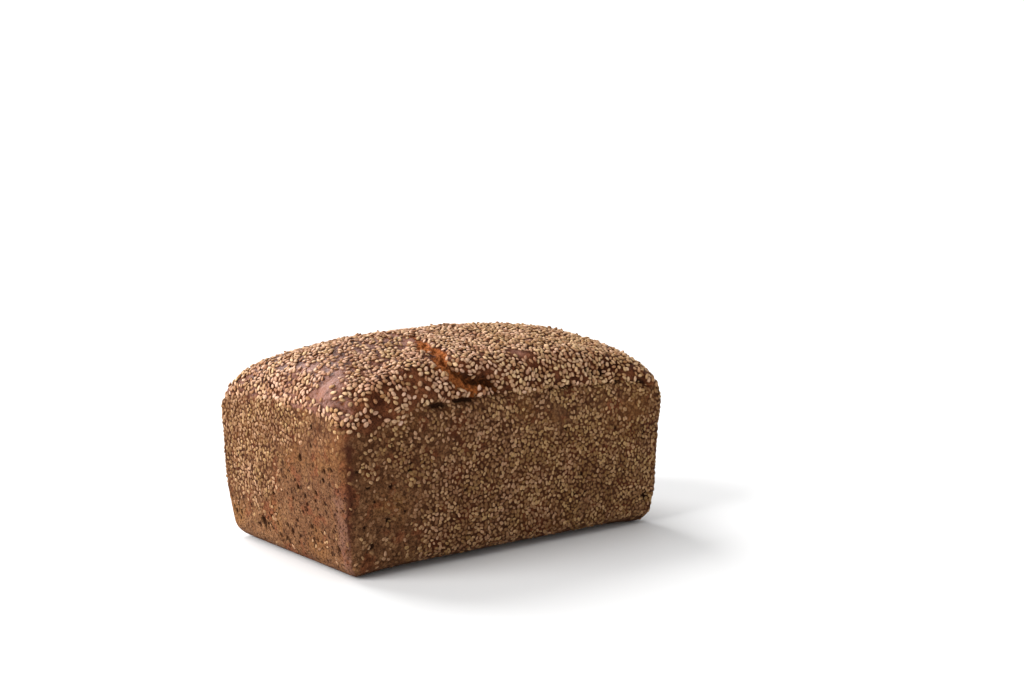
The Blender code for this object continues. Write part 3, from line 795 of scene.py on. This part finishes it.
def strew(name, seed, places, turns, scales, tones, hues, depths):
    """One mesh of all the seeds of a part of the loaf, copied to their places by geometry nodes."""
    mesh = bmesh.new()
    for place in places:
        mesh.verts.new(place)
    data = bpy.data.meshes.new(name)
    mesh.to_mesh(data)
    mesh.free()
    for key, values in (("turn", turns), ("scale", scales)):
        data.attributes.new(key, "FLOAT_VECTOR", "POINT").data.foreach_set("vector", np.ravel(values))
    set_attribute(data, "tone", tones)
    set_attribute(data, "hue", hues)
    set_attribute(data, "pressed", depths)
    piece = new_piece(name, data)
    piece.modifiers.new("seeds", "NODES").node_group = seed_nodes(seed)
    bpy.context.view_layer.update()
    evaluated = piece.evaluated_get(bpy.context.evaluated_depsgraph_get())
    joined = bpy.data.meshes.new_from_object(evaluated)
    joined.name = name
    piece.modifiers.clear()
    piece.data = joined
    for key in ("turn", "scale"):
        if key in joined.attributes:
            joined.attributes.remove(joined.attributes[key])
    return piece


def seed_nodes(seed):
    """Geometry nodes that set a copy of the seed on each vertex, turned and scaled by its attributes."""
    group = bpy.data.node_groups.new("strewn_seeds", "GeometryNodeTree")
    for way in ("INPUT", "OUTPUT"):
        group.interface.new_socket("Geometry", in_out=way, socket_type="NodeSocketGeometry")
    enter = group.nodes.new("NodeGroupInput")
    leave = group.nodes.new("NodeGroupOutput")
    copies = group.nodes.new("GeometryNodeInstanceOnPoints")
    real = group.nodes.new("GeometryNodeRealizeInstances")
    model = group.nodes.new("GeometryNodeObjectInfo")
    model.inputs["Object"].default_value = seed
    for key, socket in (("turn", "Rotation"), ("scale", "Scale")):
        read = group.nodes.new("GeometryNodeInputNamedAttribute")
        read.data_type = "FLOAT_VECTOR"
        read.inputs["Name"].default_value = key
        group.links.new(read.outputs["Attribute"], copies.inputs[socket])
    group.links.new(enter.outputs["Geometry"], copies.inputs["Points"])
    group.links.new(model.outputs["Geometry"], copies.inputs["Instance"])
    group.links.new(copies.outputs["Instances"], real.inputs["Geometry"])
    group.links.new(real.outputs["Geometry"], leave.inputs["Geometry"])
    return group


def paleness(places):
    """How pale the pressed seeds are at each place: they come in paler and browner patches."""
    x, y, z = places.T
    patches = 0.97 + 0.60 * ragged(places, 0.013, 71.0) + 0.45 * ragged(places, 0.03, 72.0)
    patches += 0.55 * ragged(places, 0.0055, 73.0)
    left = smooth(-0.030, -0.060, x) * mix(-0.18, 0.20, smooth(0.052, 0.036, z)) * (y < -0.04)
    left -= 0.9 * smooth(-0.055, -0.065, x) * smooth(0.062, 0.070, z) * (y < -0.04)
    patches *= 1 - 0.22 * (np.abs(x) > 0.0935)
    return np.clip(patches * (1 - left), 0.06, 1.25)


def seed_turns(normals, headings, tilts):
    """Each seed's turn: its length along its heading, its flat side on the crust, then tilted a little."""
    turns = []
    for normal, heading, (pitch, roll) in zip(normals, headings, tilts):
        up = Vector(normal).normalized()
        ahead = (Vector(heading) - up * up.dot(Vector(heading))).normalized()
        lie = Matrix((ahead, up.cross(ahead), up)).transposed()
        turns.append((lie @ Euler((roll, pitch, 0.0)).to_matrix()).to_euler()[:])
    return np.array(turns)


# --- materials ---------------------------------------------------

class Wire:
    """A socket of a material's nodes, so that shader sums read as plain expressions."""

    def __init__(self, tree, socket=None):
        self.tree = tree
        self.socket = socket

    def node(self, kind, settings=None, values=None, output=0):
        """Adds a node: its settings come first, then the values or wires of its sockets."""
        made = self.tree.nodes.new(kind)
        for name, value in (settings or {}).items():
            setattr(made, name, value)
        for name, value in (values or {}).items():
            if isinstance(value, Wire):
                self.tree.links.new(value.socket, made.inputs[name])
            else:
                made.inputs[name].default_value = value
        return Wire(self.tree, made.outputs[output])

    def maths(self, operation, first, second=0.0):
        return self.node("ShaderNodeMath", {"operation": operation}, {0: first, 1: second})

    def __add__(self, other):
        return self.maths("ADD", self, other)

    __radd__ = __add__

    def __mul__(self, other):
        return self.maths("MULTIPLY", self, other)

    __rmul__ = __mul__

    def __sub__(self, other):
        return self.maths("SUBTRACT", self, other)

    def __rsub__(self, other):
        return self.maths("SUBTRACT", other, self)

    def most(self, other):
        return self.maths("MAXIMUM", self, other)

    def step(self, low, high):
        """0 at low, 1 at high, and a smooth step between them; low may be the higher."""
        turned = low > high
        values = {"Value": self, "From Min": min(low, high), "From Max": max(low, high),
                  "To Min": 1.0 if turned else 0.0, "To Max": 0.0 if turned else 1.0}
        return self.node("ShaderNodeMapRange", {"interpolation_type": "SMOOTHSTEP"}, values)

    def noise(self, feature, detail=2.0, roughness=0.5):
        """Noise from 0 to 1 at this position, with features of a length in metres."""
        values = {"Vector": self, "Scale": 1.0 / feature, "Detail": detail, "Roughness": roughness}
        return self.node("ShaderNodeTexNoise", None, values)

    def cells(self, size, output="Distance"):
        """The distance from the middle of the nearest of scattered cells, or another output of theirs."""
        values = {"Vector": self, "Scale": 1.0 / size, "Randomness": 1.0}
        return self.node("ShaderNodeTexVoronoi", None, values, output)

    def attribute(self, name):
        return self.node("ShaderNodeAttribute", {"attribute_name": name}, None, "Fac")

    def blend(self, low, high):
        """Low where this is 0, high where it is 1, for two colours."""
        values = {0: self, 6: as_colour(low), 7: as_colour(high)}
        return self.node("ShaderNodeMix", {"data_type": "RGBA"}, values, 2)

    def darken(self, tint, amount=1.0):
        """This colour multiplied by a grey level or a colour."""
        settings = {"data_type": "RGBA", "blend_type": "MULTIPLY"}
        return self.node("ShaderNodeMix", settings, {0: amount, 6: self, 7: tint}, 2)


def as_colour(value):
    return value if isinstance(value, Wire) else (*value, 1.0)


def new_material(name):
    """A material with a plain shader, and the wire that starts its nodes."""
    material = bpy.data.materials.new(name)
    material.use_nodes = True
    shader = material.node_tree.nodes["Principled BSDF"]
    return material, shader, Wire(material.node_tree)


def connect(shader, sockets):
    for name, wire in sockets.items():
        wire.tree.links.new(wire.socket, shader.inputs[name])


def bump(height, depth_of_one):
    """A normal from a height between 0 and 1, whose 1 stands that far proud."""
    values = {"Height": height, "Distance": depth_of_one, "Strength": 1.0}
    return height.node("ShaderNodeBump", None, values)


def crust_material(colours):
    """Baked crust: mottled and porous walls, a red-brown top, orange-brown torn crumb, painted shade in its
    hollows.
    """
    material, shader, start = new_material("crust")
    at = start.node("ShaderNodeTexCoord", None, None, "Object")
    dome = start.attribute("dome")
    torn = start.attribute("torn")
    deep = start.attribute("deep")
    pit = start.attribute("pit")
    porous = start.attribute("porous")
    seeded = start.attribute("seeded")
    shine = start.attribute("shine")
    painted_sheen = start.attribute("painted_sheen")
    broad = at.noise(BROAD, 3.0)
    mottle = at.noise(MOTTLE, 4.0, 0.6)
    grain = at.noise(GRAIN, 3.0, 0.6)
    fine = at.noise(FINE, 2.0)
    blister = at.noise(BLISTER, 3.0, 0.7)

    tile = at.cells(TILE, "Color").step(0.2, 0.8)
    seed_gaps = at.cells(TILE).step(0.38, 0.62)
    wall = (mottle.step(0.36, 0.64) * 0.6 + tile * 0.4).blend(colours.wall_dark, colours.wall_light)
    wall = (broad.step(0.5, 0.68) * 0.7).blend(wall, colours.wall_ochre)
    wall = (at.noise(RUST, 2.0).step(0.52, 0.66) * 0.6).blend(wall, colours.wall_rust)
    top = (mottle * 0.5 + broad * 0.5).step(0.38, 0.62).blend(colours.top_dark, colours.top_light)
    crumb = (grain * 0.6 + mottle * 0.4).step(0.34, 0.66).blend(colours.crumb_dark, colours.crumb_light)
    # Painted shade: the walls darker at the cell borders, for the shaded gaps between the pressed seeds, and
    # less so where the crust is porous.
    wall = wall.darken((seed_gaps * (0.8 - 0.5 * porous)).blend(WHITE, (0.40, 0.30, 0.24)))
    skin = dome.blend(wall, top)
    skin = torn.step(0.15, 0.7).blend(skin, crumb)

    tall = at.node("ShaderNodeMapping", None, {"Vector": at, "Scale": (1.0, 1.0, 0.9)}, 0)
    small = (tall.cells(SMALL_PORE) + (grain - 0.5) * 0.6).step(0.36, 0.2)
    large = (tall.cells(LARGE_PORE) + (grain - 0.5) * 0.5 + (mottle - 0.5) * 0.7).step(0.27, 0.15)
    # Painted shade in the pores, in the crevice under the flap, and in the pits and hollows, all blended
    # toward the hollow brown below.
    pores = (small * 0.75).most(large) * (porous * 0.85 + torn * 0.12)
    crevice = deep.step(0.25, 0.9) * (0.42 + mottle.step(0.60, 0.44) * 0.48)
    dark = pores.most(crevice).most(pit.step(0.3, 0.7))
    speckle = (grain * 0.5 + fine * 0.5).step(0.34, 0.66)
    skin = skin.darken(speckle.blend((0.50, 0.45, 0.40), (1.5, 1.5, 1.5)))
    # Painted shade: the crust darker where seeds crowd it, for the shade between them.
    skin = skin.darken((seeded * 0.8).blend(WHITE, (0.38, 0.28, 0.23)))
    # Painted sheen on the bare spots, on the thin-seeded top and by the end's near edge.
    skin = (painted_sheen * (mottle * 0.4 + blister * 0.6).step(0.38, 0.56) * 0.85).blend(skin, colours.painted_sheen)
    # Painted highlight high on the end by the near upright edge.
    skin = (start.attribute("edge_highlight") * mottle.step(0.35, 0.65) * 0.35).blend(skin, colours.edge_highlight)
    # Painted shade along the near upright edge, low on the ends and round the foot.
    skin = (start.attribute("painted_shade") * mottle.step(0.22, 0.48) * 0.95).blend(skin, colours.painted_shade)
    # Painted shade in the pores, pits, hollows and the crevice.
    skin = (dark * 0.92).blend(skin, colours.hollow_shade)

    gloss = 0.72 - dome * 0.30 + torn * 0.35 + (mottle - 0.5) * 0.15 + dark * 0.3
    height = grain * 0.35 + mottle * 0.5 + fine * 0.15 + dome * (blister - 0.5) * 1.3
    height = height - pores * 1.2 - pit.step(0.3, 0.7) - seed_gaps * (1 - dome) * 0.5
    shader.inputs["Specular IOR Level"].default_value = 0.04
    shader.inputs["Coat Roughness"].default_value = 0.34
    coat = dome * painted_sheen * (0.5 + 0.5 * shine) * 0.12
    relief = bump(height, CRUST_BUMP)
    connect(shader, {"Base Color": skin, "Roughness": gloss, "Coat Weight": coat, "Normal": relief})
    return material


def sesame_material(colours):
    """Sesame: pale and toasted on the top with painted shade round the edge, browner with a pale rim where
    the tin pressed it.
    """
    material, shader, start = new_material("sesame")
    at = start.node("ShaderNodeTexCoord", None, None, "Object")
    tone = start.attribute("tone")
    edge = start.attribute("edge")
    pressed = start.attribute("pressed")
    hue = start.attribute("hue")
    mottle = at.noise(SEED_MOTTLE, 2.0)
    broad = at.noise(SEED_PATCH, 2.0)
    loose = (tone * 0.8 + broad * 0.2).blend(colours.seed_toasted, colours.seed_pale)
    flat = (tone * 0.7 + broad * 0.3).blend(colours.pressed_brown, colours.pressed_pale)
    flat = (edge.step(0.45, 0.95) * tone.step(0.15, 0.6)).blend(flat, colours.seed_rim)
    # Painted shade: the top seeds darker towards their edges, where they meet the crust.
    loose = loose.darken(edge.step(0.72, 1.0).blend(WHITE, (0.62, 0.52, 0.44)))
    seed = pressed.blend(loose, flat)
    seed = seed.darken(hue.blend((1.04, 0.96, 1.04), (1.00, 0.98, 0.80)))
    seed = seed.darken(mottle.step(0.3, 0.7).blend((0.82, 0.79, 0.75), (1.12, 1.12, 1.12)))
    roughness = 0.5 + pressed * 0.12 + (mottle - 0.5) * 0.2
    shader.inputs["Specular IOR Level"].default_value = 0.05
    connect(shader, {"Base Color": seed, "Roughness": roughness, "Normal": bump(mottle, SEED_BUMP)})
    return material


def floor_material(studio):
    """The pale floor, with a hardly visible unevenness."""
    material, shader, start = new_material("studio_floor")
    at = start.node("ShaderNodeTexCoord", None, None, "Object")
    duller = [part * 0.995 for part in studio.floor]
    shade = at.noise(FLOOR_PATCH, 2.0).step(0.0, 1.0).blend(duller, studio.floor)
    shader.inputs["Roughness"].default_value = 0.6
    shader.inputs["Specular IOR Level"].default_value = 0.2
    connect(shader, {"Base Color": shade})
    return material


# --- operators ---------------------------------------------------

class SPELT_OT_crust(Operator):
    """Models the crust with its dome, crack, crumb and pores"""

    bl_idname = "spelt.crust"
    bl_label = "Crust"

    def execute(self, context):
        scene = context.scene
        cells = cube_cells(scene.spelt_relief)
        cut_finer(cells, scene.spelt_shape)
        data = bpy.data.meshes.new("crust")
        cells.to_mesh(data)
        cells.free()
        shape_crust(data, vertex_array(data), scene.spelt_shape, scene.spelt_relief)
        finish_piece(new_piece("crust", data), crust_material(scene.spelt_colours))
        return {"FINISHED"}


class SPELT_OT_seeds(Operator):
    """Strews the sesame seeds over the top, the long sides and the ends"""

    bl_idname = "spelt.seeds"
    bl_label = "Sesame seeds"

    def execute(self, context):
        sizes = context.scene.spelt_sesame
        crust = bpy.data.objects["crust"]
        places, normals, headings, dome, cover = lay_seeds(crust, sizes)
        draw = np.random.default_rng(sizes.draw + 1)
        material = sesame_material(context.scene.spelt_colours)
        top = dome > 0.5
        end = ~top & (np.abs(normals[:, 0]) > np.abs(normals[:, 1]))
        side = ~top & ~end
        for name, chosen in (
            ("sesame_top", top), ("sesame_near_side", side & (places[:, 1] < 0)),
            ("sesame_far_side", side & (places[:, 1] > 0)), ("sesame_left_end", end & (places[:, 0] < 0)),
            ("sesame_right_end", end & (places[:, 0] > 0)),
        ):
            on_top = name == "sesame_top"
            if on_top:
                seed = seed_piece(sizes.seed_length, sizes.seed_width, sizes.seed_thickness, 0.42, 3)
            else:
                seed = seed_piece(sizes.pressed_length, sizes.pressed_width, sizes.pressed_thickness, 0.30, 2)
            crowd = cover[chosen]
            count = len(crowd)
            loose = draw.random(count) < (0.07 if on_top else 0.0)
            swing = np.where(on_top, np.where(loose, 0.4, 0.22), mix(0.06, 0.13, smooth(0.4, 0.9, crowd)))
            tilts = draw.normal(0, 1, (count, 2)) * swing[:, None]
            grow = draw.uniform(1 - sizes.spread, 1 + sizes.spread, count)
            scales = np.stack([grow, grow * draw.uniform(0.90, 1.10, count), grow], axis=1)
            raised = np.where(on_top, np.where(loose, 0.85, 0.34), mix(-0.16, -0.06, smooth(0.4, 0.9, crowd)))
            lift = draw.normal(raised, 0.11) * MM
            at = places[chosen] + normals[chosen] * lift[:, None]
            if on_top:
                tones = np.clip(draw.normal(0.46, 0.3, count) - 0.08 * smooth(-0.02, -0.05, at[:, 0]), 0, 1)
            else:
                tones = draw.beta(1.1, 2.2, count) * paleness(places[chosen])
            turns = seed_turns(normals[chosen], headings[chosen], tilts)
            golden = mix(0.4, 0.75, smooth(-0.04, 0.08, at[:, 0]))
            hues = np.clip(golden + 0.6 * ragged(at, 0.011, 81.0) + draw.normal(0, 0.24, count), 0, 1)
            piece = strew(name, seed, at, turns, scales, tones, hues, np.full(count, 0.0 if on_top else 1.0))
            finish_piece(piece, material)
            bpy.data.objects.remove(seed)
        return {"FINISHED"}


class SPELT_OT_stage(Operator):
    """Sets up the pale floor, the soft light and the camera"""

    bl_idname = "spelt.stage"
    bl_label = "Studio"

    def execute(self, context):
        scene = context.scene
        studio = scene.spelt_studio
        self.floor(studio)
        self.surroundings(scene, studio)
        self.light(scene, "key", studio.key, studio.key_bearing, studio.key_rise, studio.key_softness)
        self.light(scene, "back", studio.back, studio.back_bearing, studio.back_rise, studio.back_softness)
        self.camera(scene, studio)
        scene.view_settings.view_transform = "Standard"
        return {"FINISHED"}

    def floor(self, studio):
        mesh = bmesh.new()
        bmesh.ops.create_circle(mesh, cap_ends=True, segments=FLOOR_SIDES, radius=FLOOR_RADIUS)
        data = bpy.data.meshes.new("studio_floor")
        mesh.to_mesh(data)
        mesh.free()
        data.materials.append(floor_material(studio))
        new_piece("studio_floor", data)

    def surroundings(self, scene, studio):
        world = bpy.data.worlds.new("studio")
        world.use_nodes = True
        scene.world = world
        start = Wire(world.node_tree)
        direction = start.node("ShaderNodeTexCoord", None, None, "Generated")
        height = direction.node("ShaderNodeSeparateXYZ", None, {0: direction}, "Z")
        low = height.step(*HORIZON_HEIGHT)
        strength = studio.sky + low * (studio.horizon - studio.sky)
        background = world.node_tree.nodes["Background"]
        background.inputs["Color"].default_value = (1.0, 1.0, 1.0, 1.0)
        connect(background, {"Strength": strength})

    def light(self, scene, name, energy, bearing, rise, softness):
        light = bpy.data.lights.new(name, "SUN")
        light.energy = energy
        light.angle = softness
        level = math.cos(rise)
        towards = Vector((level * math.cos(bearing), level * math.sin(bearing), math.sin(rise)))
        lamp = bpy.data.objects.new(name, light)
        lamp.rotation_euler = towards.to_track_quat("Z", "Y").to_euler()
        scene.collection.objects.link(lamp)

    def camera(self, scene, studio):
        lens = bpy.data.cameras.new("camera")
        lens.lens = studio.lens
        lens.sensor_width = SENSOR_WIDTH
        lens.clip_start, lens.clip_end = CLIP
        level = math.cos(studio.rise)
        back = Vector((
            math.sin(studio.bearing) * level, -math.cos(studio.bearing) * level, math.sin(studio.rise)))
        right = Vector((math.cos(studio.bearing), math.sin(studio.bearing), 0.0))
        up = back.cross(right)
        camera = bpy.data.objects.new("camera", lens)
        aim = Vector((0.0, 0.0, studio.aim_height)) + right * studio.aside + up * studio.above
        camera.location = aim + back * studio.distance
        camera.rotation_euler = back.to_track_quat("Z", "Y").to_euler()
        scene.collection.objects.link(camera)
        scene.camera = camera


class SPELT_PT_panel(Panel):
    """Lists the steps that make the loaf"""

    bl_label = "Spelt loaf"
    bl_idname = "SPELT_PT_panel"
    bl_space_type = "VIEW_3D"
    bl_region_type = "UI"
    bl_category = "Spelt loaf"

    def draw(self, context):
        for step in STEPS:
            self.layout.operator(step.bl_idname)


STEPS = (SPELT_OT_crust, SPELT_OT_seeds, SPELT_OT_stage)
SETTINGS = {
    "spelt_shape": LoafShape, "spelt_relief": CrustRelief, "spelt_sesame": SesameSizes,
    "spelt_colours": LoafColours, "spelt_studio": Studio,
}


def register():
    for name, group in SETTINGS.items():
        bpy.utils.register_class(group)
        setattr(bpy.types.Scene, name, PointerProperty(type=group))
    for kind in (*STEPS, SPELT_PT_panel):
        bpy.utils.register_class(kind)


def unregister():
    for kind in (SPELT_PT_panel, *reversed(STEPS)):
        bpy.utils.unregister_class(kind)
    for name, group in reversed(SETTINGS.items()):
        delattr(bpy.types.Scene, name)
        bpy.utils.unregister_class(group)


def main():
    register()
    bpy.ops.spelt.crust()
    bpy.ops.spelt.seeds()
    bpy.ops.spelt.stage()


if __name__ == "__main__":
    main()
